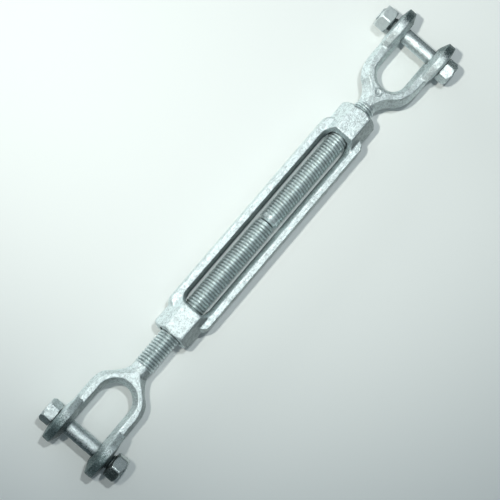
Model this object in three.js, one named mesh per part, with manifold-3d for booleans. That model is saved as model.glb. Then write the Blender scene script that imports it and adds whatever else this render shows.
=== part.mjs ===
// Open-body rigging turnbuckle with a jaw at each end: forged body, two screwed jaws, jaw bolts and nuts.
// Millimetres, +Z up. +X runs along the screw axis and the bolts lie along Y.
// The origin is the middle of the bounding box. The screws are run fully in, with their tips nearly touching.
import * as THREE from "three";
import { mergeVertices } from "three/addons/utils/BufferGeometryUtils.js";
import Module from "manifold-3d";

const wasm = await Module();
wasm.setup();

// ---- driving dimensions ---------------------------------------------------------------------------------

const INCH = 25.4;
const CLEARANCE = 0.3;
const ROUND = 40; // facets around a turned surface
const CURVE_STEPS = 6; // facets along a curved edge
const OVERSHOOT = 1; // how far a cutter reaches past the face it opens

// Screws: 5/8 inch, 11 threads to the inch, drawn at their crest diameter.
const screw = { radius: (5 / 16) * INCH, tipChamfer: 1.4, tipGap: 1.0, meetingOffset: -0.3 };

// Body: 8 inches long with a 6 inch window between two hexagonal bosses.
const body = {
  halfLength: 4 * INCH,
  halfWindow: 3 * INCH,
  bossAcrossFlats: INCH,
  bossChamfer: 1.4,
  railOuter: 17.5,
  railOuterTop: 16.6,
  railInner: 8.7,
  railInnerTop: 11.2,
  railHalfHeight: 6,
  railTail: 11,
  tailRadius: 7,
  windowRadius: 5,
  windowDraft: 4,
};

// What the two jaws share, with lengths along X counted from the bolt axis towards the screw.
const jaw = {
  earRadius: 16.5,
  earFaceRadius: 9.5,
  earInner: 12.3,
  earInnerRim: 15.7,
  earOuter: 22.6,
  earOuterRim: 20.9,
  boreRadius: 5.95,
  strapHalfHeight: 6.5,
  strapStart: 7,
  crotchDraft: 3.3,
  fairingEnd: 18.5,
  neckRadius: 6.9,
};

// Where they differ: the bolt axis counted from the middle of the body, the depth of the crotch, the end of
// the neck, where the thread begins, and the straps. A plan is half the outline of the yoke, as the guide
// points of two curves: strap, shoulder, then the run to the neck.
const ends = {
  left: {
    boltAxis: -190.5,
    crotch: 44.1,
    neckEnd: 62,
    strapInner: 11.8,
    strapInnerTop: 14.6,
    partingPlan: [[33, 21.3], [41.5, 21], [46, 15.3], [51.5, 8.9], [58, 6.8]],
    topPlan: [[28, 18.7], [38.5, 18.9], [44.5, 13.3], [50.3, 6.9], [56.4, 0.4]],
  },
  right: {
    boltAxis: 167.2,
    crotch: 39.8,
    neckEnd: 60,
    strapInner: 11,
    strapInnerTop: 14,
    partingPlan: [[27, 21.5], [40, 21.4], [46, 15], [51, 7.8], [58.5, 6.8]],
    topPlan: [[22, 18.8], [36, 18.8], [42.6, 12], [47, 4.6], [58.5, 1.6]],
  },
};

// Jaw bolts: 7/16 inch, finished hexagon heads and nuts.
const bolt = {
  radius: (7 / 32) * INCH,
  headAcrossFlats: (5 / 8) * INCH,
  headHeight: (21 / 64) * INCH,
  headGap: 0.4,
  nutAcrossFlats: (11 / 16) * INCH,
  nutHeight: (23 / 64) * INCH,
  nutGap: 2.4,
  endPastNut: 1.3,
  endChamfer: 1.2,
};

// How far each hexagon has turned about its bolt from lying flat side up, in degrees.
const hexagonTurn = { left_bolt: 8, left_nut: -17, right_bolt: -19, right_nut: 9 };

// The body sits off centre in the bounding box, because one screw is further in than the other.
const bodyCentre = -(ends.left.boltAxis + ends.right.boltAxis) / 2;

// ---- finishes -------------------------------------------------------------------------------------------

const finish = {
  forging: { color: 0xc9cfcd, roughness: 0.5, metalness: 0.75 },
  fastener: { color: 0xb4bbba, roughness: 0.35, metalness: 0.85 },
};

// ---- solids ---------------------------------------------------------------------------------------------

// A closed three.js geometry as a solid that can be joined and cut.
function solid(geometry) {
  const bare = geometry.index ? geometry.toNonIndexed() : geometry.clone();
  for (const name of Object.keys(bare.attributes)) {
    if (name !== "position") bare.deleteAttribute(name);
  }
  const merged = mergeVertices(bare, 1e-4);
  return new wasm.Manifold(new wasm.Mesh({
    numProp: 3,
    vertProperties: Float32Array.from(merged.attributes.position.array),
    triVerts: Uint32Array.from(merged.index.array),
  }));
}

function geometryOf(shape) {
  const { vertProperties, triVerts } = shape.getMesh();
  const geometry = new THREE.BufferGeometry();
  geometry.setAttribute("position", new THREE.BufferAttribute(Float32Array.from(vertProperties), 3));
  geometry.setIndex(new THREE.BufferAttribute(Uint32Array.from(triVerts), 1));
  return geometry;
}

const joined = (...shapes) => shapes.reduce((whole, piece) => whole.add(piece));

// A round bar along X with a chamfer of its own at each end.
function roundBar(radius, from, to, chamferFrom = 0, chamferTo = 0) {
  const profile = [
    [0, from],
    [radius - chamferFrom, from],
    [radius, from + chamferFrom],
    [radius, to - chamferTo],
    [radius - chamferTo, to],
    [0, to],
  ].map(([r, x]) => new THREE.Vector2(r, x));
  const distinct = profile.filter((point, i) => i === 0 || point.distanceTo(profile[i - 1]) > 0);
  return solid(new THREE.LatheGeometry(distinct, ROUND).rotateZ(-Math.PI / 2));
}

// A hexagonal prism along X, one flat up, with the corners of the chosen ends turned off.
function hexagonBar(acrossFlats, from, to, chamferFrom, chamferTo) {
  const cornerRadius = acrossFlats / Math.sqrt(3);
  const prism = new THREE.CylinderGeometry(cornerRadius, cornerRadius, to - from, 6).rotateZ(Math.PI / 2);
  prism.rotateX(Math.PI / 2).translate((from + to) / 2, 0, 0);
  return solid(prism).intersect(roundBar(cornerRadius + 0.01, from, to, chamferFrom, chamferTo));
}

// A solid through matching outlines at several heights. Each level is [height, points].
function lofted(levels) {
  const count = levels[0][1].length;
  const positions = levels.flatMap(([z, points]) => points.flatMap((p) => [p.x, p.y, z]));
  const triangles = [];
  for (let level = 0; level + 1 < levels.length; level += 1) {
    for (let i = 0; i < count; i += 1) {
      const a = level * count + i;
      const b = level * count + ((i + 1) % count);
      triangles.push(a, b, b + count, a, b + count, a + count);
    }
  }
  const top = (levels.length - 1) * count;
  for (const [p, q, r] of THREE.ShapeUtils.triangulateShape(levels[0][1], [])) {
    triangles.push(r, q, p);
  }
  for (const [p, q, r] of THREE.ShapeUtils.triangulateShape(levels[levels.length - 1][1], [])) {
    triangles.push(top + p, top + q, top + r);
  }
  const geometry = new THREE.BufferGeometry();
  geometry.setAttribute("position", new THREE.Float32BufferAttribute(positions, 3));
  geometry.setIndex(triangles);
  return solid(geometry);
}

// The same levels mirrored below the parting plane.
function aboutPartingPlane(levels) {
  const below = levels.filter(([z]) => z > 0).map(([z, points]) => [-z, points]).reverse();
  return lofted([...below, ...levels]);
}

function roundedRectangle(halfLength, halfWidth, radius) {
  const outline = new THREE.Shape();
  outline.moveTo(halfLength, halfWidth - radius);
  outline.absarc(halfLength - radius, halfWidth - radius, radius, 0, Math.PI / 2);
  outline.absarc(radius - halfLength, halfWidth - radius, radius, Math.PI / 2, Math.PI);
  outline.absarc(radius - halfLength, radius - halfWidth, radius, Math.PI, 1.5 * Math.PI);
  outline.absarc(halfLength - radius, radius - halfWidth, radius, 1.5 * Math.PI, 2 * Math.PI);
  return outline.extractPoints(CURVE_STEPS).shape;
}

// ---- body -----------------------------------------------------------------------------------------------

// The two rails as one drafted plate, whose ends run out along the sides of the bosses.
function railPlate() {
  const halfLength = body.halfWindow + body.railTail;
  const draft = body.railOuter - body.railOuterTop;
  return aboutPartingPlane([
    [0, roundedRectangle(halfLength, body.railOuter, body.tailRadius)],
    [body.railHalfHeight, roundedRectangle(halfLength - draft, body.railOuterTop, body.tailRadius)],
  ]);
}

// The window, which flares towards both faces as a forging has to.
function windowCut() {
  const bossTop = body.bossAcrossFlats / 2;
  const widening = body.railInnerTop - body.railInner;
  const draftAtRail = body.windowDraft * (body.railHalfHeight / bossTop);
  return aboutPartingPlane([
    [0, roundedRectangle(body.halfWindow, body.railInner, body.windowRadius)],
    [body.railHalfHeight, roundedRectangle(
      body.halfWindow + draftAtRail, body.railInnerTop, body.windowRadius)],
    [bossTop + OVERSHOOT, roundedRectangle(
      body.halfWindow + body.windowDraft, body.railInnerTop + widening, body.windowRadius)],
  ]);
}

function boss(side) {
  const from = side < 0 ? -body.halfLength : body.halfWindow;
  const to = side < 0 ? -body.halfWindow : body.halfLength;
  const chamfers = side < 0 ? [body.bossChamfer, 0] : [0, body.bossChamfer];
  return hexagonBar(body.bossAcrossFlats, from, to, ...chamfers);
}

function turnbuckleBody() {
  const screwBore = roundBar(
    screw.radius + CLEARANCE, -body.halfLength - OVERSHOOT, body.halfLength + OVERSHOOT);
  return joined(railPlate(), boss(-1), boss(1)).subtract(windowCut()).subtract(screwBore);
}

// ---- jaws -----------------------------------------------------------------------------------------------

// Plan of the yoke from the guide points of one side.
function yokeOutline([strap, bulge, shoulder, hollow, neck]) {
  const outline = new THREE.Shape();
  outline.moveTo(jaw.strapStart, -strap[1]);
  outline.lineTo(strap[0], -strap[1]);
  outline.quadraticCurveTo(bulge[0], -bulge[1], shoulder[0], -shoulder[1]);
  outline.quadraticCurveTo(hollow[0], -hollow[1], neck[0], -neck[1]);
  outline.lineTo(neck[0], neck[1]);
  outline.quadraticCurveTo(hollow[0], hollow[1], shoulder[0], shoulder[1]);
  outline.quadraticCurveTo(bulge[0], bulge[1], strap[0], strap[1]);
  outline.lineTo(jaw.strapStart, strap[1]);
  return outline.extractPoints(CURVE_STEPS).shape;
}

// Plan of the gap between the straps: open at the ears, round at the crotch.
function throatOutline(halfWidth, crotch) {
  const outline = new THREE.Shape();
  outline.moveTo(-2 * jaw.earRadius, -halfWidth);
  outline.lineTo(crotch - halfWidth, -halfWidth);
  outline.absarc(crotch - halfWidth, 0, halfWidth, -Math.PI / 2, Math.PI / 2);
  outline.lineTo(-2 * jaw.earRadius, halfWidth);
  return outline.extractPoints(2 * CURVE_STEPS).shape;
}

function yoke({ crotch, strapInner, strapInnerTop, partingPlan, topPlan }) {
  const height = jaw.strapHalfHeight;
  const plate = aboutPartingPlane([[0, yokeOutline(partingPlan)], [height, yokeOutline(topPlan)]]);
  const widening = strapInnerTop - strapInner;
  const throat = aboutPartingPlane([
    [0, throatOutline(strapInner, crotch)],
    [2 * height, throatOutline(strapInner + 2 * widening, crotch + 2 * jaw.crotchDraft)],
  ]);
  return plate.subtract(throat);
}

// The ear towards +Y: flat about the bolt on both faces, then thinning to the rim.
function ear() {
  const lens = new THREE.LatheGeometry([
    new THREE.Vector2(0, jaw.earInner),
    new THREE.Vector2(jaw.earFaceRadius, jaw.earInner),
    new THREE.Vector2(jaw.earRadius, jaw.earInnerRim),
    new THREE.Vector2(jaw.earRadius, jaw.earOuterRim),
    new THREE.Vector2(jaw.earFaceRadius, jaw.earOuter),
    new THREE.Vector2(0, jaw.earOuter),
  ], ROUND);
  return solid(lens).add(earFairing());
}

// The wedge that carries the rim of the ear down to the height of the strap.
function earFairing() {
  const { earRadius, fairingEnd, strapHalfHeight } = jaw;
  const reach = Math.hypot(fairingEnd, strapHalfHeight);
  const touch = Math.acos(earRadius / reach) + Math.atan2(strapHalfHeight, fairingEnd);
  const outline = new THREE.Shape();
  outline.moveTo(fairingEnd, -strapHalfHeight);
  outline.lineTo(fairingEnd, strapHalfHeight);
  outline.lineTo(earRadius * Math.cos(touch), earRadius * Math.sin(touch));
  outline.lineTo(0, 0);
  outline.lineTo(earRadius * Math.cos(touch), -earRadius * Math.sin(touch));
  const rimThickness = jaw.earOuterRim - jaw.earInnerRim;
  const wedge = new THREE.ExtrudeGeometry(outline, { depth: rimThickness, bevelEnabled: false });
  wedge.rotateX(Math.PI / 2).translate(0, jaw.earOuterRim, 0);
  return solid(wedge);
}

function fork(end) {
  const neckStart = end.crotch + jaw.crotchDraft + OVERSHOOT;
  const neck = roundBar(jaw.neckRadius, neckStart, end.neckEnd - CLEARANCE);
  const bore = solid(new THREE.CylinderGeometry(jaw.boreRadius, jaw.boreRadius, 4 * jaw.earOuter, ROUND));
  const nearEar = ear();
  const farEar = nearEar.mirror([0, 1, 0]);
  return joined(yoke(end), nearEar, farEar, neck).subtract(bore);
}

// Screw end of a jaw, from the neck to the tip that meets the other screw.
function shank(neckEnd, tip) {
  return roundBar(screw.radius, neckEnd, tip, screw.tipChamfer, screw.tipChamfer);
}

// ---- fasteners ------------------------------------------------------------------------------------------

// Made along X, with the underside of the head at zero and the head towards -X.
function jawBolt() {
  const length = bolt.headGap + 2 * jaw.earOuter + bolt.nutGap + bolt.nutHeight + bolt.endPastNut;
  const head = hexagonBar(bolt.headAcrossFlats, -bolt.headHeight, 0, bolt.endChamfer, 0);
  return joined(head, roundBar(bolt.radius, -OVERSHOOT, length, 0, bolt.endChamfer));
}

// Made along X, with the face that looks at the ear at zero.
function jawNut() {
  const blank = hexagonBar(bolt.nutAcrossFlats, 0, bolt.nutHeight, bolt.endChamfer, bolt.endChamfer);
  return blank.subtract(roundBar(bolt.radius + CLEARANCE, -OVERSHOOT, bolt.nutHeight + OVERSHOOT));
}

// ---- assembly -------------------------------------------------------------------------------------------

function piece(name, shape, look) {
  const mesh = new THREE.Mesh(geometryOf(shape), new THREE.MeshStandardMaterial(finish[look]));
  mesh.name = name;
  return mesh;
}

// One jaw's bolt and nut, laid across the ears with the head on the side of +1 or -1 in Y.
function fastenerPair(end, headSide) {
  const group = new THREE.Group();
  const jawBoltMesh = piece(`${end}_bolt`, jawBolt(), "fastener");
  const nutMesh = piece(`${end}_nut`, jawNut(), "fastener");
  jawBoltMesh.position.x = -jaw.earOuter - bolt.headGap;
  nutMesh.position.x = jaw.earOuter + bolt.nutGap;
  for (const mesh of [jawBoltMesh, nutMesh]) {
    mesh.rotation.x = THREE.MathUtils.degToRad(hexagonTurn[mesh.name]);
    group.add(mesh);
  }
  group.rotation.z = (-headSide * Math.PI) / 2;
  return group;
}

// A jaw made about its own bolt axis with the screw towards +X, its screw reaching the middle of the window.
function jawEnd(end, side) {
  const { boltAxis, neckEnd } = ends[end];
  const tip = screw.meetingOffset + (side * screw.tipGap) / 2;
  const group = new THREE.Group();
  group.add(piece(`${end}_fork`, fork(ends[end]), "forging"));
  group.add(piece(`${end}_shank`, shank(neckEnd, Math.abs(tip - boltAxis)), "forging"));
  group.add(fastenerPair(end, 1));
  group.position.x = boltAxis;
  group.rotation.z = side > 0 ? Math.PI : 0;
  return group;
}

const turnbuckle = new THREE.Group();
turnbuckle.position.x = bodyCentre;
turnbuckle.add(piece("turnbuckle_body", turnbuckleBody(), "forging"));
turnbuckle.add(jawEnd("left", -1));
turnbuckle.add(jawEnd("right", 1));

export default turnbuckle;
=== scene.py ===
import math

import bmesh
import bpy
import numpy as np
from mathutils import Matrix, Vector, noise


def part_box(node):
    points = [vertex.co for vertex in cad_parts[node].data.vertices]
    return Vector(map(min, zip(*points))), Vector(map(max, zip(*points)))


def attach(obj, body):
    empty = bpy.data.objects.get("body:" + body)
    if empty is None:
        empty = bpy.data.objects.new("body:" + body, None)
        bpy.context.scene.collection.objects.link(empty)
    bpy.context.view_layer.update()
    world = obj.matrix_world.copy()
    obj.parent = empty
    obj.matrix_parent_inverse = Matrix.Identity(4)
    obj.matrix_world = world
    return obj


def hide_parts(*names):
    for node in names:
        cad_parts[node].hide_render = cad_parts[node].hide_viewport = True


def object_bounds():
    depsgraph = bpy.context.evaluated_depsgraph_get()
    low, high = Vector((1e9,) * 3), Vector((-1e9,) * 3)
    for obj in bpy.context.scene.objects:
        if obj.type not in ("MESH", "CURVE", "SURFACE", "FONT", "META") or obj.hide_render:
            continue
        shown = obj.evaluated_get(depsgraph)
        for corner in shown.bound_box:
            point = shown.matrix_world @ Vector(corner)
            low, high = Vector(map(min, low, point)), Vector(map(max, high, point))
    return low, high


# Open-body rigging turnbuckle with a jaw at each end, all hot-dip galvanised. The frame gives where each
# part lies; the meshes here are built in millimetres, then scaled to metres and laid on it.
# +X runs along the screw axis, the jaw bolts lie along Y, and every forging has its parting plane at Z = 0.

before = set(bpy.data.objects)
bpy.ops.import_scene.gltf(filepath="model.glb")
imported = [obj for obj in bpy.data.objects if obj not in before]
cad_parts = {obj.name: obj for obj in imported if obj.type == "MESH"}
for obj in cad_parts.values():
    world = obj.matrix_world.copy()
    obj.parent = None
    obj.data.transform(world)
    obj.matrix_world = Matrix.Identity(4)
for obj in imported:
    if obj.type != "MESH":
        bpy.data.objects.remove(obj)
frame_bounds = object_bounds()

# ---- dimensions in millimetres ---------------------------------------------------------------------------

MM = 0.001
INCH = 25.4
ROUND = 96                      # segments around screws, bosses, ears and bores
BODY_VOXEL = 0.5                # size of the cells each kind of forging is remeshed with
FORK_VOXEL = 0.42
OVERSHOOT = 1.0                 # how far a cutter reaches past what it cuts

# Unevenness of a forging: the size of each kind of bump, and its share of the roughness.
BUMPS = [(7.0, 0.9), (2.1, 0.6), (0.9, 0.25)]
BUMP_STRIDE = (31.7, 17.3)      # keeps the bumps of one forging unlike those of the next

SCREW_PITCH = INCH / 11
SCREW_CREST = 7.5               # worn and coated crests stand a little under the nominal 5/8 inch
SCREW_ROOT = 5.85
SCREW_STEP = 0.19               # spacing of the rings that the thread is made of
SCREW_RUN_OUT = 3.0             # length over which the thread starts from the blank
SCREW_LEAD = 2.0                # how far before the end of the neck it starts
SCREW_OVERLAP = 3.0             # how far the screw's mesh reaches back into the neck
SCREW_BLANK = 6.55              # radius of the blank where the thread runs out
CREST_FULLNESS = 0.8            # under 1 the crests are broad and the roots narrow
NECK_RADIUS = 6.8
NECK_ROOT_RADIUS = 3.0          # the neck starts this thin inside the yoke
NECK_ROOT_LENGTH = 6.0          # and is full this much further on
TIP_CHAMFER = 2.0
TIP_FILL = 6.0                  # length over which zinc fills the thread at the tip of the right screw
TIP_FILL_START = 2.5            # part of that length over which the filling sets in
TIP_FILL_SHARE = 0.62           # how much of the thread's depth it fills
TIP_FILL_BELOW_CREST = 0.3      # how far a full filling would stay below the crests
SCREW_BORE = 8.2
BORE_MOUTH = 1.0                # how far the bore is opened out at each mouth, and how deep

BODY_HALF = 4 * INCH
WINDOW_HALF = 3 * INCH
BOSS_ACROSS_FLATS = INCH
BOSS_CHAMFER = 1.6
BOSS_EDGE = 0.25                # how far the long edges are rounded off
RAIL_OUTER = (17.4, 16.3)       # half widths at the parting plane and at the top face
RAIL_INNER = (8.8, 11.9)
RAIL_HEIGHT = 6.0
RAIL_END = 87.5
RAIL_CORNER = 7.0
WINDOW_FLARE = 4.2
WINDOW_CORNER = 5.5

EAR_RADIUS = 16.4
EAR_FACE_RADIUS = 9.3
EAR_INNER = (12.3, 15.6)        # distances from the middle, at the bolt and at the rim
EAR_OUTER = (22.5, 20.9)
EAR_SEAT = 22.6                 # where the gaps to the head and to the nut are counted from
EAR_BORE = 5.95
STRAP_HEIGHT = 6.4
STRAP_START = 6.5
CROTCH_DRAFT = 3.3
FAIRING_END = 18.5

# The raised ring on the right fork: its place from the middle of the bolt, and its section as
# [(height, radius), ...] from the foot over the ridge into the dimple.
DOT_PLACE = (46.8, -0.8)
DOT_SECTION = [(-0.6, 3.5), (0.0, 3.25), (0.4, 2.9), (0.55, 2.4), (0.4, 1.9), (0.05, 1.4), (-0.1, 0.7)]
DOT_LIFT = 0.05

# The two forks. Lengths run from the bolt axis towards the screw. Each outline is half the yoke's plan, as
# guide points of two curves: strap, shoulder, then the run to the neck. The inner sides of the straps are
# given as half the gap between them, at the parting plane and at the top face. Bumps picks a fork's bumps.
JAWS = {
    "left": {
        "bumps": 2,
        "crotch": 44.1,
        "neck_end": 62.0,
        "strap_inner": (11.8, 14.6),
        "parting_outline": [(33.0, 21.3), (41.5, 21.0), (46.0, 15.3), (51.5, 8.9), (58.0, 6.8)],
        "top_outline": [(28.0, 18.7), (38.5, 18.9), (44.5, 13.3), (50.3, 6.9), (56.4, 0.4)],
    },
    "right": {
        "bumps": 3,
        "crotch": 39.8,
        "neck_end": 60.0,
        "strap_inner": (11.0, 14.0),
        "parting_outline": [(27.0, 21.5), (40.0, 21.4), (46.0, 15.0), (51.0, 7.8), (58.5, 6.8)],
        "top_outline": [(22.0, 18.8), (36.0, 18.8), (42.6, 12.0), (47.0, 4.6), (58.5, 1.6)],
    },
}

BOLT_RADIUS = 5.5
BOLT_ROOT = 4.5
BOLT_PITCH = INCH / 14
BOLT_THREAD = 17.0
BOLT_STEP = 0.16                # spacing of the rings that the thread is made of
BOLT_RUN_OUT = 2.0
BOLT_FILLET = 0.5               # between the shank and the underside of the head
END_PAST_NUT = 1.2
END_CHAMFER = 1.2
END_CENTRE = 0.4                # radius of the cap in the middle of each end

HEAD_ACROSS_FLATS = 5 / 8 * INCH
HEAD_HEIGHT = 21 / 64 * INCH
HEAD_GAP = 0.4
HEAD_CHAMFER = 1.9
HEAD_FACE_EDGE = 0.12           # depth of the soft edge around the face
HEAD_CORNER_ROUND = 0.18        # how far the corners of the hexagon are rounded off
HEAD_UNDERSIDE = (0.35, 1.06)   # depth of the underside's chamfer, and its width in the widths across flats

NUT_ACROSS_FLATS = 11 / 16 * INCH
NUT_HEIGHT = 23 / 64 * INCH
NUT_GAP = 2.4
NUT_CHAMFER = 1.7
NUT_FACE_EDGE = 0.1
NUT_CORNER_ROUND = 0.3
NUT_BORE_GAP = 0.3
NUT_COUNTERSINK = 0.9

FASTENER_ROUND = 144            # segments around a bolt or a nut
FACE_SHARE = 0.9                # the round face of a head or a nut, in widths across flats
CHAMFER_SHARE = 0.97            # where the chamfer's cone starts, in widths across flats
CHAMFER_STEPS = 7

# How far each hexagon has turned about its bolt from lying flat side up, in degrees.
HEXAGON_TURN = {"left_bolt": 8, "left_nut": -17, "right_bolt": -19, "right_nut": 9}
SHARP_ANGLE = 35                # edges of heads, nuts and bolts over this many degrees stay sharp


# ---- meshes ----------------------------------------------------------------------------------------------

def mesh_object(name, points, faces):
    mesh = bpy.data.meshes.new(name)
    mesh.from_pydata([tuple(p) for p in points], [], [tuple(f) for f in faces])
    mesh.validate()
    made = bpy.data.objects.new(name, mesh)
    bpy.context.scene.collection.objects.link(made)
    return made


def discard(thing):
    mesh = thing.data
    bpy.data.objects.remove(thing)
    bpy.data.meshes.remove(mesh)


def quads_between(a, b, count):
    """Faces between two rings of points, given where each ring starts among the points."""
    return [(a + i, a + (i + 1) % count, b + (i + 1) % count, b + i) for i in range(count)]


def grid_solid(name, rings):
    """A closed mesh through rings of equally many points, with a flat cap at each end."""
    count = len(rings[0])
    points = [p for ring in rings for p in ring]
    last = (len(rings) - 1) * count
    faces = []
    for start in range(0, last, count):
        faces += quads_between(start, start + count, count)
    faces.append(tuple(range(count - 1, -1, -1)))
    faces.append(tuple(range(last, last + count)))
    return mesh_object(name, points, faces)


def lofted(name, levels):
    """A solid through outlines [(x, y), ...] at several heights, mirrored below the parting plane."""
    below = [(-z, outline) for z, outline in reversed(levels) if z > 0]
    rings = [[(x, y, z) for x, y in outline] for z, outline in below + levels]
    return grid_solid(name, rings)


def ring_around(x, radius_at, count):
    """A ring of points around the X axis, at the radius a function gives for each angle."""
    ring = []
    for angle in np.linspace(0, 2 * math.pi, count, endpoint=False):
        radius = radius_at(angle)
        ring.append((x, radius * math.cos(angle), radius * math.sin(angle)))
    return ring


def round_ring(x, radius, count):
    return ring_around(x, lambda angle: radius, count)


def turned(name, profile, segments=ROUND):
    """A solid turned about the X axis from [(x, radius), ...] in order along +X."""
    return grid_solid(name, [round_ring(x, radius, segments) for x, radius in profile])


def arc(centre, radius, start, end, count=10):
    """Points on a circle from one angle to another, in degrees."""
    angles = np.radians(np.linspace(start, end, count))
    return [(centre[0] + radius * math.cos(a), centre[1] + radius * math.sin(a)) for a in angles]


def bow(start, control, end, count=10):
    """Points on a quadratic curve."""
    points = []
    for t in np.linspace(0, 1, count):
        weights = ((1 - t) ** 2, 2 * t * (1 - t), t ** 2)
        points.append(tuple(sum(w * p[i] for w, p in zip(weights, (start, control, end))) for i in (0, 1)))
    return points


def rounded_rectangle(half_length, half_width, radius):
    x, y = half_length - radius, half_width - radius
    outline = []
    for quarter, corner in enumerate([(x, y), (-x, y), (-x, -y), (x, -y)]):
        outline += arc(corner, radius, 90 * quarter, 90 * quarter + 90)
    return outline


def settle(thing):
    """Applies the modifiers of a thing to its mesh."""
    depsgraph = bpy.context.evaluated_depsgraph_get()
    mesh = bpy.data.meshes.new_from_object(thing.evaluated_get(depsgraph))
    thing.modifiers.clear()
    old = thing.data
    thing.data = mesh
    bpy.data.meshes.remove(old)


def combine(whole, other, operation):
    modifier = whole.modifiers.new("combine", "BOOLEAN")
    modifier.operation = operation
    modifier.solver = "EXACT"
    modifier.object = other
    settle(whole)
    discard(other)
    return whole


def union(*things):
    whole = things[0]
    for other in things[1:]:
        combine(whole, other, "UNION")
    return whole


def cut(whole, *cutters):
    for cutter in cutters:
        combine(whole, cutter, "DIFFERENCE")
    return whole


def add_mesh(whole, other):
    """Joins another mesh to a thing without welding them."""
    both = bmesh.new()
    both.from_mesh(whole.data)
    both.from_mesh(other.data)
    both.to_mesh(whole.data)
    both.free()
    discard(other)


def transform(thing, matrix):
    thing.data.transform(matrix)
    if matrix.determinant() < 0:
        thing.data.flip_normals()
    return thing


def turn(axis, degrees):
    return Matrix.Rotation(math.radians(degrees), 4, axis)


def forge(thing, voxel, softness, roughness, seed):
    """Rounds the edges of a forging and leaves its surface slightly uneven."""
    remesh = thing.modifiers.new("remesh", "REMESH")
    remesh.mode = "VOXEL"
    remesh.voxel_size = voxel
    soften = thing.modifiers.new("soften", "SMOOTH")
    soften.factor = 0.5
    soften.iterations = softness
    settle(thing)
    mesh = thing.data
    places = np.zeros(len(mesh.vertices) * 3)
    normals = np.zeros(len(mesh.vertices) * 3)
    mesh.vertices.foreach_get("co", places)
    mesh.vertex_normals.foreach_get("vector", normals)
    places, normals = places.reshape(-1, 3), normals.reshape(-1, 3)
    shift = Vector((seed * BUMP_STRIDE[0], seed * BUMP_STRIDE[1], 0))
    for i, place in enumerate(places):
        spot = Vector(place) + shift
        height = sum(share * noise.noise(spot / size) for size, share in BUMPS)
        places[i] += normals[i] * roughness * height
    mesh.vertices.foreach_set("co", places.ravel())
    mesh.update()
    return thing


# ---- turnbuckle body -------------------------------------------------------------------------------------

def hexagon_radius(angle, across_flats):
    """Radius of a hexagon with one flat facing +Z, at an angle counted from +Y towards +Z."""
    folded = (angle - math.pi / 2 + math.pi / 6) % (math.pi / 3) - math.pi / 6
    return across_flats / 2 / math.cos(folded)


def hexagon_ring(x, across_flats, limit, count=ROUND):
    """A hexagon around the X axis whose corners end at a limiting radius."""
    return ring_around(x, lambda angle: min(hexagon_radius(angle, across_flats), limit), count)


def hexagon_boss(side):
    """One hexagonal end of the body, its outer corners turned off and its inner end plain."""
    corner = BOSS_ACROSS_FLATS / math.sqrt(3) - BOSS_EDGE
    stations = [WINDOW_HALF - BOSS_EDGE, BODY_HALF - BOSS_CHAMFER, BODY_HALF]
    limits = [corner, corner, corner - BOSS_CHAMFER]
    rings = [hexagon_ring(x, BOSS_ACROSS_FLATS, limit) for x, limit in zip(stations, limits)]
    return transform(grid_solid("boss", rings), Matrix.Scale(side, 4, (1, 0, 0)))


def body_rails():
    top = RAIL_END - (RAIL_OUTER[0] - RAIL_OUTER[1])
    return lofted("rails", [
        (0.0, rounded_rectangle(RAIL_END, RAIL_OUTER[0], RAIL_CORNER)),
        (RAIL_HEIGHT, rounded_rectangle(top, RAIL_OUTER[1], RAIL_CORNER)),
    ])


def body_window():
    """The window, flaring towards both faces as it has to leave the dies."""
    boss_top = BOSS_ACROSS_FLATS / 2 + OVERSHOOT
    flare_at_rail = WINDOW_FLARE * RAIL_HEIGHT / boss_top
    widening = RAIL_INNER[1] - RAIL_INNER[0]
    return lofted("window", [
        (0.0, rounded_rectangle(WINDOW_HALF, RAIL_INNER[0], WINDOW_CORNER)),
        (RAIL_HEIGHT, rounded_rectangle(WINDOW_HALF + flare_at_rail, RAIL_INNER[1], WINDOW_CORNER)),
        (boss_top, rounded_rectangle(WINDOW_HALF + WINDOW_FLARE, RAIL_INNER[1] + widening, WINDOW_CORNER)),
    ])


def screw_bore():
    """The bore through both bosses, opened out a little at each mouth."""
    mouth = SCREW_BORE + BORE_MOUTH
    profile = [(-BODY_HALF - OVERSHOOT, mouth), (-BODY_HALF, mouth), (-BODY_HALF + BORE_MOUTH, SCREW_BORE)]
    profile += [(-x, radius) for x, radius in reversed(profile)]
    return turned("bore", profile)


def turnbuckle_body():
    body = union(body_rails(), hexagon_boss(-1), hexagon_boss(1))
    cut(body, body_window(), screw_bore())
    body.name = "turnbuckle_body_forged"
    return forge(body, BODY_VOXEL, softness=3, roughness=0.10, seed=1)


# ---- jaws ------------------------------------------------------------------------------------------------

def yoke_outline(guides):
    """The yoke's plan from the guide points of one side: strap, shoulder and the run to the neck."""
    start, control, shoulder, hollow, end = guides
    side = [(STRAP_START, start[1])]
    side += bow(start, control, shoulder)
    side += bow(shoulder, hollow, end)[1:]
    return [(x, -y) for x, y in side] + list(reversed(side))


def throat_outline(half_width, crotch):
    """The gap between the straps: open at the ears, round at the crotch."""
    outline = [(-2 * EAR_RADIUS, half_width), (-2 * EAR_RADIUS, -half_width)]
    return outline + arc((crotch - half_width, 0), half_width, -90, 90, count=28)


def yoke(jaw):
    plate = lofted("yoke", [
        (0.0, yoke_outline(jaw["parting_outline"])),
        (STRAP_HEIGHT, yoke_outline(jaw["top_outline"])),
    ])
    inner, inner_top = jaw["strap_inner"]
    widening = inner_top - inner
    throat = lofted("throat", [
        (0.0, throat_outline(inner, jaw["crotch"])),
        (2 * STRAP_HEIGHT, throat_outline(inner + 2 * widening, jaw["crotch"] + 2 * CROTCH_DRAFT)),
    ])
    return cut(plate, throat)


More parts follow.
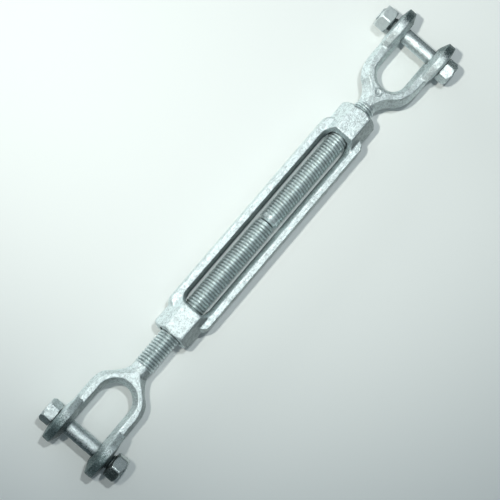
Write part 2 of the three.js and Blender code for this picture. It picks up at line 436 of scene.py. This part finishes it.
def ear():
    """The ear towards +Y: flat about the bolt on both faces, thinning to its rim."""
    lens = turned("ear", [
        (EAR_INNER[0], EAR_FACE_RADIUS),
        (EAR_INNER[1], EAR_RADIUS),
        (EAR_OUTER[1], EAR_RADIUS),
        (EAR_OUTER[0], EAR_FACE_RADIUS),
    ])
    return transform(lens, turn("Z", 90))


def ear_fairing():
    """The flat that runs from the top of the ear's rim down to the strap, and its twin below."""
    reach = math.hypot(FAIRING_END, STRAP_HEIGHT)
    touch = math.acos(EAR_RADIUS / reach) + math.atan2(STRAP_HEIGHT, FAIRING_END)
    rim = (EAR_RADIUS * math.cos(touch), EAR_RADIUS * math.sin(touch))
    side = [(0.0, 0.0), (rim[0], -rim[1]), (FAIRING_END, -STRAP_HEIGHT), (FAIRING_END, STRAP_HEIGHT), rim]
    rings = [[(x, y, z) for x, z in side] for y in (EAR_OUTER[1], EAR_INNER[1])]
    return grid_solid("fairing", rings)


def bolt_bore():
    bore = turned("bore", [(-EAR_OUTER[0] - OVERSHOOT, EAR_BORE), (EAR_OUTER[0] + OVERSHOOT, EAR_BORE)])
    return transform(bore, turn("Z", 90))


def forging_dot(place):
    """The small raised ring with a dimple in it, on the top face beyond the crotch."""
    dot = turned("dot", DOT_SECTION, ROUND // 2)
    return transform(dot, Matrix.Translation((*place, STRAP_HEIGHT + DOT_LIFT)) @ turn("Y", -90))


def neck(jaw):
    """The round neck between the yoke and the screw, starting as a cone inside the yoke."""
    full = jaw["top_outline"][-1][0]
    return turned("neck", [
        (full - NECK_ROOT_LENGTH, NECK_ROOT_RADIUS),
        (full, NECK_RADIUS),
        (jaw["neck_end"], NECK_RADIUS),
    ])


def fork(end):
    jaw = JAWS[end]
    mirror = Matrix.Scale(-1, 4, (0, 1, 0))
    ears = [ear(), ear_fairing(), transform(ear(), mirror), transform(ear_fairing(), mirror)]
    whole = union(yoke(jaw), *ears, neck(jaw))
    whole.name = f"{end}_fork_forged"
    cut(whole, bolt_bore())
    forge(whole, FORK_VOXEL, softness=4, roughness=0.11, seed=jaw["bumps"])
    if end == "right":
        add_mesh(whole, forging_dot(DOT_PLACE))
    return whole


# ---- threads ---------------------------------------------------------------------------------------------

def thread_radius(x, angle, pitch, hand, crest, root):
    """Radius of a thread with full crests and narrow roots: hand is 1 for right-hand and -1 for left-hand."""
    phase = 2 * math.pi * x / pitch - hand * angle
    return root + (crest - root) * abs(math.cos(phase / 2)) ** CREST_FULLNESS


def ease(t):
    t = min(max(t, 0.0), 1.0)
    return t * t * (3 - 2 * t)


def threaded_ring(x, thread, blank, started, limit, count, filled=0.0):
    """A ring of a thread: started runs from 0 for the bare blank to 1, and filled is the zinc's share."""
    filled_radius = thread["crest"] - TIP_FILL_BELOW_CREST

    def radius_at(angle):
        radius = thread_radius(x, angle, **thread)
        radius += (filled_radius - radius) * filled
        return min(blank + (radius - blank) * started, limit)

    return ring_around(x, radius_at, count)


def screw(end, hand, neck_end, tip):
    """A jaw's screw along X, from inside the neck to its chamfered tip."""
    thread = {"pitch": SCREW_PITCH, "hand": hand, "crest": SCREW_CREST, "root": SCREW_ROOT}
    rings = []
    for x in np.linspace(neck_end - SCREW_OVERLAP, tip, int((tip - neck_end) / SCREW_STEP)):
        started = ease((x - neck_end + SCREW_LEAD) / SCREW_RUN_OUT)
        filled = TIP_FILL_SHARE * ease((x - tip + TIP_FILL) / TIP_FILL_START) if end == "right" else 0.0
        limit = SCREW_CREST - TIP_CHAMFER + (tip - x)
        rings.append(threaded_ring(x, thread, SCREW_BLANK, started, limit, ROUND, filled))
    return grid_solid(f"{end}_screw_thread", rings)


# ---- bolts and nuts --------------------------------------------------------------------------------------

def chamfered_end(face, inwards, across_flats, depth, corner_round):
    """Rings of a hexagon's end, its corners turned off by a cone: inwards is +1 or -1 along X."""
    corner = across_flats / math.sqrt(3)
    start = across_flats / 2 * CHAMFER_SHARE
    rings = []
    for t in np.linspace(0, 1, CHAMFER_STEPS):
        limit = min(start + (corner - start) * t, corner - corner_round)
        rings.append(hexagon_ring(face + inwards * depth * t, across_flats, limit, FASTENER_ROUND))
    return rings


def bolt_head():
    """Rings of the head from its outer face to the fillet under it, which ends at the shank."""
    across = HEAD_ACROSS_FLATS
    corner = across / math.sqrt(3) - HEAD_CORNER_ROUND
    depth, share = HEAD_UNDERSIDE
    rings = [round_ring(-HEAD_HEIGHT, END_CENTRE, FASTENER_ROUND)]
    rings.append(round_ring(-HEAD_HEIGHT, across / 2 * FACE_SHARE, FASTENER_ROUND))
    rings += chamfered_end(-HEAD_HEIGHT + HEAD_FACE_EDGE, 1, across, HEAD_CHAMFER, HEAD_CORNER_ROUND)
    rings.append(hexagon_ring(-depth, across, corner, FASTENER_ROUND))
    rings.append(hexagon_ring(0.0, across, across / 2 * share, FASTENER_ROUND))
    rings.append(round_ring(0.0, BOLT_RADIUS + BOLT_FILLET, FASTENER_ROUND))
    rings.append(round_ring(BOLT_FILLET, BOLT_RADIUS, FASTENER_ROUND))
    return rings


def jaw_bolt(end):
    """A hexagon-head bolt along X, with the underside of its head at zero and the head towards -X."""
    length = HEAD_GAP + 2 * EAR_SEAT + NUT_GAP + NUT_HEIGHT + END_PAST_NUT
    start = length - BOLT_THREAD
    thread = {"pitch": BOLT_PITCH, "hand": 1, "crest": BOLT_RADIUS, "root": BOLT_ROOT}
    rings = bolt_head()
    for x in np.linspace(start, length, int(BOLT_THREAD / BOLT_STEP)):
        started = ease((x - start) / BOLT_RUN_OUT)
        limit = BOLT_RADIUS - END_CHAMFER + (length - x)
        rings.append(threaded_ring(x, thread, BOLT_RADIUS, started, limit, FASTENER_ROUND))
    rings.append(round_ring(length, END_CENTRE, FASTENER_ROUND))
    return grid_solid(f"{end}_bolt_forged", rings)


def jaw_nut(end):
    """A hexagon nut along X from zero, chamfered on both faces, with a countersunk bore."""
    across = NUT_ACROSS_FLATS
    bore = BOLT_RADIUS + NUT_BORE_GAP
    near = chamfered_end(NUT_FACE_EDGE, 1, across, NUT_CHAMFER, NUT_CORNER_ROUND)
    far = chamfered_end(NUT_HEIGHT - NUT_FACE_EDGE, -1, across, NUT_CHAMFER, NUT_CORNER_ROUND)
    near_face = round_ring(0.0, across / 2 * FACE_SHARE, FASTENER_ROUND)
    far_face = round_ring(NUT_HEIGHT, across / 2 * FACE_SHARE, FASTENER_ROUND)
    inner = [
        (NUT_HEIGHT, bore + NUT_COUNTERSINK),
        (NUT_HEIGHT - NUT_COUNTERSINK, bore),
        (NUT_COUNTERSINK, bore),
        (0.0, bore + NUT_COUNTERSINK),
    ]
    rings = [near_face, *near, *reversed(far), far_face]
    rings += [round_ring(x, radius, FASTENER_ROUND) for x, radius in inner]
    points = [p for ring in rings for p in ring]
    faces = []
    for row in range(len(rings)):
        following = (row + 1) % len(rings)
        faces += quads_between(row * FASTENER_ROUND, following * FASTENER_ROUND, FASTENER_ROUND)
    return mesh_object(f"{end}_nut_forged", points, faces)


# ---- materials -------------------------------------------------------------------------------------------

# Zinc from its palest to its greyest: bright on the forgings, duller on one nut and darkest on the other.
BRIGHT_ZINC = ((0.79, 0.89, 0.90), (0.46, 0.53, 0.54))
BOLT_ZINC = ((0.68, 0.76, 0.77), (0.46, 0.52, 0.53))
DULL_ZINC = ((0.60, 0.67, 0.67), (0.50, 0.56, 0.57))
DARK_ZINC = ((0.52, 0.58, 0.57), (0.42, 0.47, 0.47))

# What the zinc's colour is multiplied by at full strength: dark specks, painted shade in hollows, the stain
# on the ear ends, and painted shade on faces turned outwards.
SPECK_SHADE = (0.45, 0.50, 0.50)
# Painted shade in hollows and between parts.
HOLLOW_PAINTED_SHADE = (0.20, 0.24, 0.24)
EAR_STAIN_SHADE = (0.20, 0.25, 0.25)
# Painted shade on faces turned away from the middle of the object.
OUTWARD_PAINTED_SHADE = (0.22, 0.26, 0.27)

# How near another surface has to be for the painted shade of a hollow to set in, in metres.
HOLLOW_SHADE_REACH = 0.006
# A shorter reach for the painted shade at the roots of the threads.
THREAD_HOLLOW_SHADE_REACH = 0.0018

# How fine the clouds, the specks and the pits are next to the crystals, and how deep a pit is in metres.
CLOUD_FINENESS = 0.3
SPECK_FINENESS = 1.3
PIT_FINENESS = 1.2
PIT_DEPTH = 0.0004

# Painted shade on each forging: the share of colour left on flanks facing -Y and on its plain faces, full
# towards
# +Y; and where the stain on its ears starts and is full, in metres from the middle of the object.
BODY_PAINTED_SIDE_SHADE = {"minus_y_shade": 0.50, "plain": 0.90}
LEFT_FORK_SHADE_AND_STAIN = {"minus_y_shade": 0.50, "plain": 0.90, "stain": (0.160, 0.186)}
RIGHT_FORK_SHADE_AND_STAIN = {"minus_y_shade": 0.84, "plain": 0.76, "stain": (0.170, 0.188)}


def node(tree, kind, inputs=None, **settings):
    made = tree.nodes.new(kind)
    for key, value in settings.items():
        setattr(made, key, value)
    for key, value in (inputs or {}).items():
        if isinstance(value, bpy.types.NodeSocket):
            tree.links.new(value, made.inputs[key])
        else:
            made.inputs[key].default_value = value
    return made


def ramp(tree, factor, stops, interpolation="EASE"):
    made = node(tree, "ShaderNodeValToRGB", {"Fac": factor})
    made.color_ramp.interpolation = interpolation
    elements = made.color_ramp.elements
    while len(elements) < len(stops):
        elements.new(0.5)
    for element, (position, colour) in zip(elements, stops):
        element.position = position
        element.color = (*colour, 1) if isinstance(colour, tuple) else (colour, colour, colour, 1)
    return made.outputs["Color"]


def blended(tree, terms):
    """The sum of several values, each with its own weight."""
    total = 0.0
    for value, weight in terms:
        step = node(tree, "ShaderNodeMath", {0: value, 1: weight, 2: total}, operation="MULTIPLY_ADD")
        total = step.outputs[0]
    return total


def noise_field(tree, place, scale, detail):
    return node(tree, "ShaderNodeTexNoise", {
        "Vector": place, "Scale": scale, "Detail": detail, "Roughness": 0.65}).outputs["Fac"]


def multiplied(tree, first, second):
    mix = node(tree, "ShaderNodeMix", data_type="RGBA", blend_type="MULTIPLY")
    colours = [socket for socket in mix.inputs if socket.type == "RGBA"]
    mix.inputs["Factor"].default_value = 1.0
    tree.links.new(first, colours[0])
    tree.links.new(second, colours[1])
    return [socket for socket in mix.outputs if socket.type == "RGBA"][0]


def along_object(tree, place):
    """Distance along X from the middle of the object, with its sign."""
    return node(tree, "ShaderNodeSeparateXYZ", {"Vector": place}).outputs["X"]


def stained_ends(tree, place, speckle, stain):
    """Dark handling stain on the outer ends of the ears, broken up by bare specks."""
    distance = node(tree, "ShaderNodeMath", {0: along_object(tree, place)}, operation="ABSOLUTE").outputs[0]
    reach = node(tree, "ShaderNodeMapRange", {
        "Value": distance, "From Min": stain[0], "From Max": stain[1]}, interpolation_type="SMOOTHSTEP")
    amount = blended(tree, [(reach.outputs["Result"], 0.75), (speckle, -0.8)])
    return ramp(tree, amount, [(0.0, 1.0), (0.3, EAR_STAIN_SHADE)], "LINEAR")


def flank(tree, axis):
    """How far the surface faces along one axis of the object, from -1 to 1."""
    facing = node(tree, "ShaderNodeTexCoord").outputs["Normal"]
    return node(tree, "ShaderNodeSeparateXYZ", {"Vector": facing}).outputs[axis]


def painted_side_shade(tree, minus_y_shade, plain):
    """Painted shade by side: flanks that look towards +Y keep their colour, while those towards -Y and the
    plain faces are darkened.
    """
    # Painted shade: the colour darkens as the surface turns towards -Y, away from the lamps, and on the faces
    # turned neither way.
    amount = node(tree, "ShaderNodeMapRange", {"Value": flank(tree, "Y"), "From Min": -0.9, "From Max": 0.9})
    return ramp(tree, amount.outputs["Result"], [(0.0, minus_y_shade), (0.4, plain), (0.6, plain), (1.0, 1.0)])


def painted_outward_shade(tree, place, speckle):
    """Painted shade on whatever looks away from the middle of the object, ragged where it ends."""
    side = node(tree, "ShaderNodeMath", {0: along_object(tree, place)}, operation="SIGN").outputs[0]
    outward = node(tree, "ShaderNodeMath", {0: flank(tree, "X"), 1: side}, operation="MULTIPLY").outputs[0]
    amount = blended(tree, [(outward, 1.0), (speckle, -0.9)])
    return ramp(tree, amount, [(0.02, 1.0), (0.28, OUTWARD_PAINTED_SHADE)])


def painted_hollow_shade(tree, reach):
    """Painted shade wherever another surface is near."""
    openness = node(tree, "ShaderNodeAmbientOcclusion", {"Distance": reach}, samples=8).outputs["AO"]
    return ramp(tree, openness, [(0.2, HOLLOW_PAINTED_SHADE), (0.8, 1.0)])


def zinc_pattern(tree, place, speckle, grain):
    """Cloudy patches, crystals and specks in one value that lies around a half."""
    crystals = node(tree, "ShaderNodeTexVoronoi", {"Vector": place, "Scale": grain}, feature="F1")
    crystal = node(tree, "ShaderNodeSeparateColor", {"Color": crystals.outputs["Color"]}).outputs["Red"]
    clouds = noise_field(tree, place, CLOUD_FINENESS * grain, 5.0)
    return blended(tree, [(clouds, 0.55), (crystal, 0.22), (speckle, 0.35)])


def zinc_colour(tree, pattern, speckle, shades, speck_level):
    """Grey to pale zinc after the pattern, with dark specks."""
    pale, grey = shades
    middle = tuple((a + b) / 2 for a, b in zip(pale, grey))
    colour = ramp(tree, pattern, [(0.32, grey), (0.5, middle), (0.62, pale)])
    specks = ramp(tree, speckle, [(speck_level, SPECK_SHADE), (speck_level + 0.06, 1.0)], "LINEAR")
    return multiplied(tree, colour, specks)


def forging_shade_and_stain(tree, place, speckle, shade_and_stain):
    """The factors that paint side shade on a forging's flanks and stain its ears."""
    factors = [painted_side_shade(tree, shade_and_stain["minus_y_shade"], shade_and_stain["plain"])]
    if "stain" in shade_and_stain:
        factors.append(stained_ends(tree, place, speckle, shade_and_stain["stain"]))
    return factors


def galvanised(name, shades, metallic, roughness, grain, pitting, speck_level,
               hollow_shade_reach=HOLLOW_SHADE_REACH, shade_and_stain=None, outward_shade=False):
    """Zinc coating: grain is in crystals per metre, and speck_level is higher for more dark specks."""
    material = bpy.data.materials.new(name)
    material.use_nodes = True
    tree = material.node_tree
    tree.nodes.clear()
    place = node(tree, "ShaderNodeTexCoord").outputs["Object"]
    speckle = noise_field(tree, place, SPECK_FINENESS * grain, 2.0)
    pattern = zinc_pattern(tree, place, speckle, grain)
    colour = zinc_colour(tree, pattern, speckle, shades, speck_level)
    # Painted shade in the hollows: darker where another surface is near.
    factors = [painted_hollow_shade(tree, hollow_shade_reach)]
    if shade_and_stain:
        # Painted shade by side on the forgings, and the stain on their ear ends.
        factors += forging_shade_and_stain(tree, place, speckle, shade_and_stain)
    # Painted shade on the faces of bolts and a nut that turn away from the middle of the object.
    if outward_shade:
        factors.append(painted_outward_shade(tree, place, speckle))
    for factor in factors:
        colour = multiplied(tree, colour, factor)
    rough = node(tree, "ShaderNodeMapRange", {
        "Value": pattern, "From Min": 0.3, "From Max": 0.7,
        "To Min": roughness + 0.12, "To Max": roughness - 0.06}).outputs["Result"]
    pits = noise_field(tree, place, PIT_FINENESS * grain, 4.0)
    relief = node(tree, "ShaderNodeBump", {"Height": pits, "Strength": pitting, "Distance": PIT_DEPTH})
    shader = node(tree, "ShaderNodeBsdfPrincipled", {
        "Base Color": colour, "Roughness": rough, "Normal": relief.outputs["Normal"], "Metallic": metallic})
    node(tree, "ShaderNodeOutputMaterial", {"Surface": shader.outputs["BSDF"]})
    return material


def zinc_materials():
    """The coating of every kind of piece."""
    forging = {
        "shades": BRIGHT_ZINC, "metallic": 0.82, "roughness": 0.42, "grain": 950, "pitting": 1.0,
        "speck_level": 0.31}
    return {
        "body": galvanised("galvanised_body", shade_and_stain=BODY_PAINTED_SIDE_SHADE, **forging),
        "left_fork": galvanised("galvanised_left_fork", shade_and_stain=LEFT_FORK_SHADE_AND_STAIN, **forging),
        "right_fork": galvanised("galvanised_right_fork", shade_and_stain=RIGHT_FORK_SHADE_AND_STAIN, **forging),
        "thread": galvanised(
            "galvanised_thread", BRIGHT_ZINC, metallic=0.82, roughness=0.40, grain=1100, pitting=0.3,
            speck_level=0.28, hollow_shade_reach=THREAD_HOLLOW_SHADE_REACH),
        "bolt": galvanised(
            "galvanised_bolt", BOLT_ZINC, metallic=0.94, roughness=0.42, grain=900, pitting=1.0,
            speck_level=0.30, outward_shade=True),
        "left_nut": galvanised(
            "dark_nut", DARK_ZINC, metallic=0.84, roughness=0.26, grain=800, pitting=0.1,
            speck_level=0.1, outward_shade=True),
        "right_nut": galvanised(
            "dull_nut", DULL_ZINC, metallic=0.40, roughness=0.38, grain=800, pitting=0.1,
            speck_level=0.1),
    }


# ---- pieces ----------------------------------------------------------------------------------------------

def finish_piece(thing, matrix, material, body, node_name, sharp_angle=None):
    """Lays a mesh made in millimetres on the frame, hangs it on what it rides on and hides the part it stands
    for.
    """
    transform(thing, Matrix.Scale(MM, 4) @ matrix)
    thing.data.materials.append(material)
    thing.data.shade_smooth()
    if sharp_angle:
        thing.data.set_sharp_from_angle(angle=math.radians(sharp_angle))
    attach(thing, body)
    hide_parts(node_name)


def centre_of(node_name):
    low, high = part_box(node_name)
    return (low + high) / 2 / MM


def build_fasteners(end, place, materials):
    """A jaw's bolt and nut, laid across its ears, with the head at +Y in the jaw's own directions."""
    across = place @ turn("Z", -90)
    fasteners = [
        (jaw_bolt(end), "bolt", -EAR_SEAT - HEAD_GAP, materials["bolt"]),
        (jaw_nut(end), "nut", EAR_SEAT + NUT_GAP, materials[f"{end}_nut"]),
    ]
    for thing, kind, offset, material in fasteners:
        node_name = f"{end}_{kind}"
        where = across @ Matrix.Translation((offset, 0, 0)) @ turn("X", HEXAGON_TURN[node_name])
        finish_piece(thing, where, material, f"{end}_jaw_{kind}", node_name, SHARP_ANGLE)


def build_jaw(end, materials):
    """A fork, its screw, its bolt and its nut. The right jaw is the left one turned about Z."""
    facing = 1 if end == "left" else -1
    axis = centre_of(f"{end}_bolt").x
    shank_low, shank_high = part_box(f"{end}_shank")
    tip = abs((shank_high if facing > 0 else shank_low).x / MM - axis)
    place = Matrix.Translation((axis, 0, 0)) @ turn("Z", 0 if facing > 0 else 180)
    finish_piece(fork(end), place, materials[f"{end}_fork"], f"{end}_jaw", f"{end}_fork")
    thread = screw(end, facing, JAWS[end]["neck_end"], tip)
    finish_piece(thread, place, materials["thread"], f"{end}_jaw", f"{end}_shank")
    build_fasteners(end, place, materials)


def build_body(materials):
    place = Matrix.Translation((centre_of("turnbuckle_body").x, 0, 0))
    body = turnbuckle_body()
    finish_piece(body, place, materials["body"], "frame_body", "turnbuckle_body")


def build_object():
    materials = zinc_materials()
    build_body(materials)
    for end in JAWS:
        build_jaw(end, materials)


# ---- stage: places and sizes in metres -------------------------------------------------------------------

FLOOR_HALF = 3.0
FLOOR_COLOUR = (0.79, 0.83, 0.82)
FLOOR_ROUGHNESS = 0.55

# Colour of the room's walls at three heights, which run from 0 at table level to 1 overhead.
WALLS = [(0.05, (0.02, 0.03, 0.03)), (0.4, (0.07, 0.09, 0.10)), (0.9, (0.23, 0.27, 0.30))]

LENS = 117.0                    # millimetres, on a sensor of 36
CAMERA_PLACE = (-0.2342, 0.0455, 1.0772)
CAMERA_AIM = (-0.0099, -0.0033, 0.0)
CAMERA_RIGHT = (0.6363, -0.7532, 0.1666)


def floor_material():
    material = bpy.data.materials.new("pale_table")
    material.use_nodes = True
    shader = material.node_tree.nodes["Principled BSDF"]
    shader.inputs["Base Color"].default_value = (*FLOOR_COLOUR, 1)
    shader.inputs["Roughness"].default_value = FLOOR_ROUGHNESS
    return material


def table_top():
    level = frame_bounds[0].z
    half = FLOOR_HALF
    corners = [(-half, -half, level), (half, -half, level), (half, half, level), (-half, half, level)]
    floor = mesh_object("table_top", corners, [(0, 1, 2, 3)])
    floor.data.materials.append(floor_material())


def aimed(data, location, aim):
    lamp = bpy.data.objects.new(data.name, data)
    lamp.location = location
    lamp.rotation_mode = "QUATERNION"
    lamp.rotation_quaternion = (Vector(aim) - Vector(location)).to_track_quat("-Z", "Y")
    bpy.context.scene.collection.objects.link(lamp)


def pool_lamp(name, location, aim, radius, cone, power, colour):
    """A small lamp whose pool of light fades out softly towards its edge."""
    data = bpy.data.lights.new(name, "SPOT")
    data.shadow_soft_size = radius
    data.spot_size = math.radians(cone)
    data.spot_blend = 1.0
    data.energy = power
    data.color = colour
    aimed(data, location, aim)


def soft_panel(name, location, aim, size, power, colour):
    data = bpy.data.lights.new(name, "AREA")
    data.shape = "RECTANGLE"
    data.size, data.size_y = size
    data.energy = power
    data.color = colour
    aimed(data, location, aim)


def lights():
    """Two small lamps overhead, and a low soft panel beyond the object for the faces towards it."""
    pool_lamp(
        "overhead_lamp", location=(0.08, 0.08, 1.14), aim=(0.14, 0.0, 0.0), radius=0.03, cone=67,
        power=15.7, colour=(0.93, 0.99, 0.99))
    pool_lamp(
        "side_lamp", location=(-0.27, 0.30, 1.06), aim=(0.17, 0.16, 0.0), radius=0.03, cone=50,
        power=31.5, colour=(1.0, 0.995, 0.92))
    soft_panel(
        "far_panel", location=(0.05, 0.70, 0.16), aim=(0.0, 0.0, 0.0), size=(0.9, 0.28),
        power=2.1, colour=(0.97, 1.0, 0.99))


def room():
    """Walls that are nearly dark at the level of the table and dim overhead."""
    world = bpy.data.worlds.new("soft_room")
    world.use_nodes = True
    tree = world.node_tree
    direction = node(tree, "ShaderNodeTexCoord").outputs["Generated"]
    height = node(tree, "ShaderNodeSeparateXYZ", {"Vector": direction}).outputs["Z"]
    tree.links.new(ramp(tree, height, WALLS), tree.nodes["Background"].inputs["Color"])
    bpy.context.scene.world = world


def camera():
    """Looks down on the turnbuckle from well to the left, with the left jaw at the lower left."""
    data = bpy.data.cameras.new("camera")
    data.sensor_width = 36.0
    data.lens = LENS
    made = bpy.data.objects.new("camera", data)
    bpy.context.scene.collection.objects.link(made)
    position = Vector(CAMERA_PLACE)
    back = (position - Vector(CAMERA_AIM)).normalized()
    right = Vector(CAMERA_RIGHT)
    right = (right - back * right.dot(back)).normalized()
    up = back.cross(right)
    made.matrix_world = Matrix.Translation(position) @ Matrix((right, up, back)).transposed().to_4x4()
    bpy.context.scene.camera = made


build_object()
table_top()
lights()
room()
camera()
bpy.context.scene.view_settings.view_transform = "Standard"
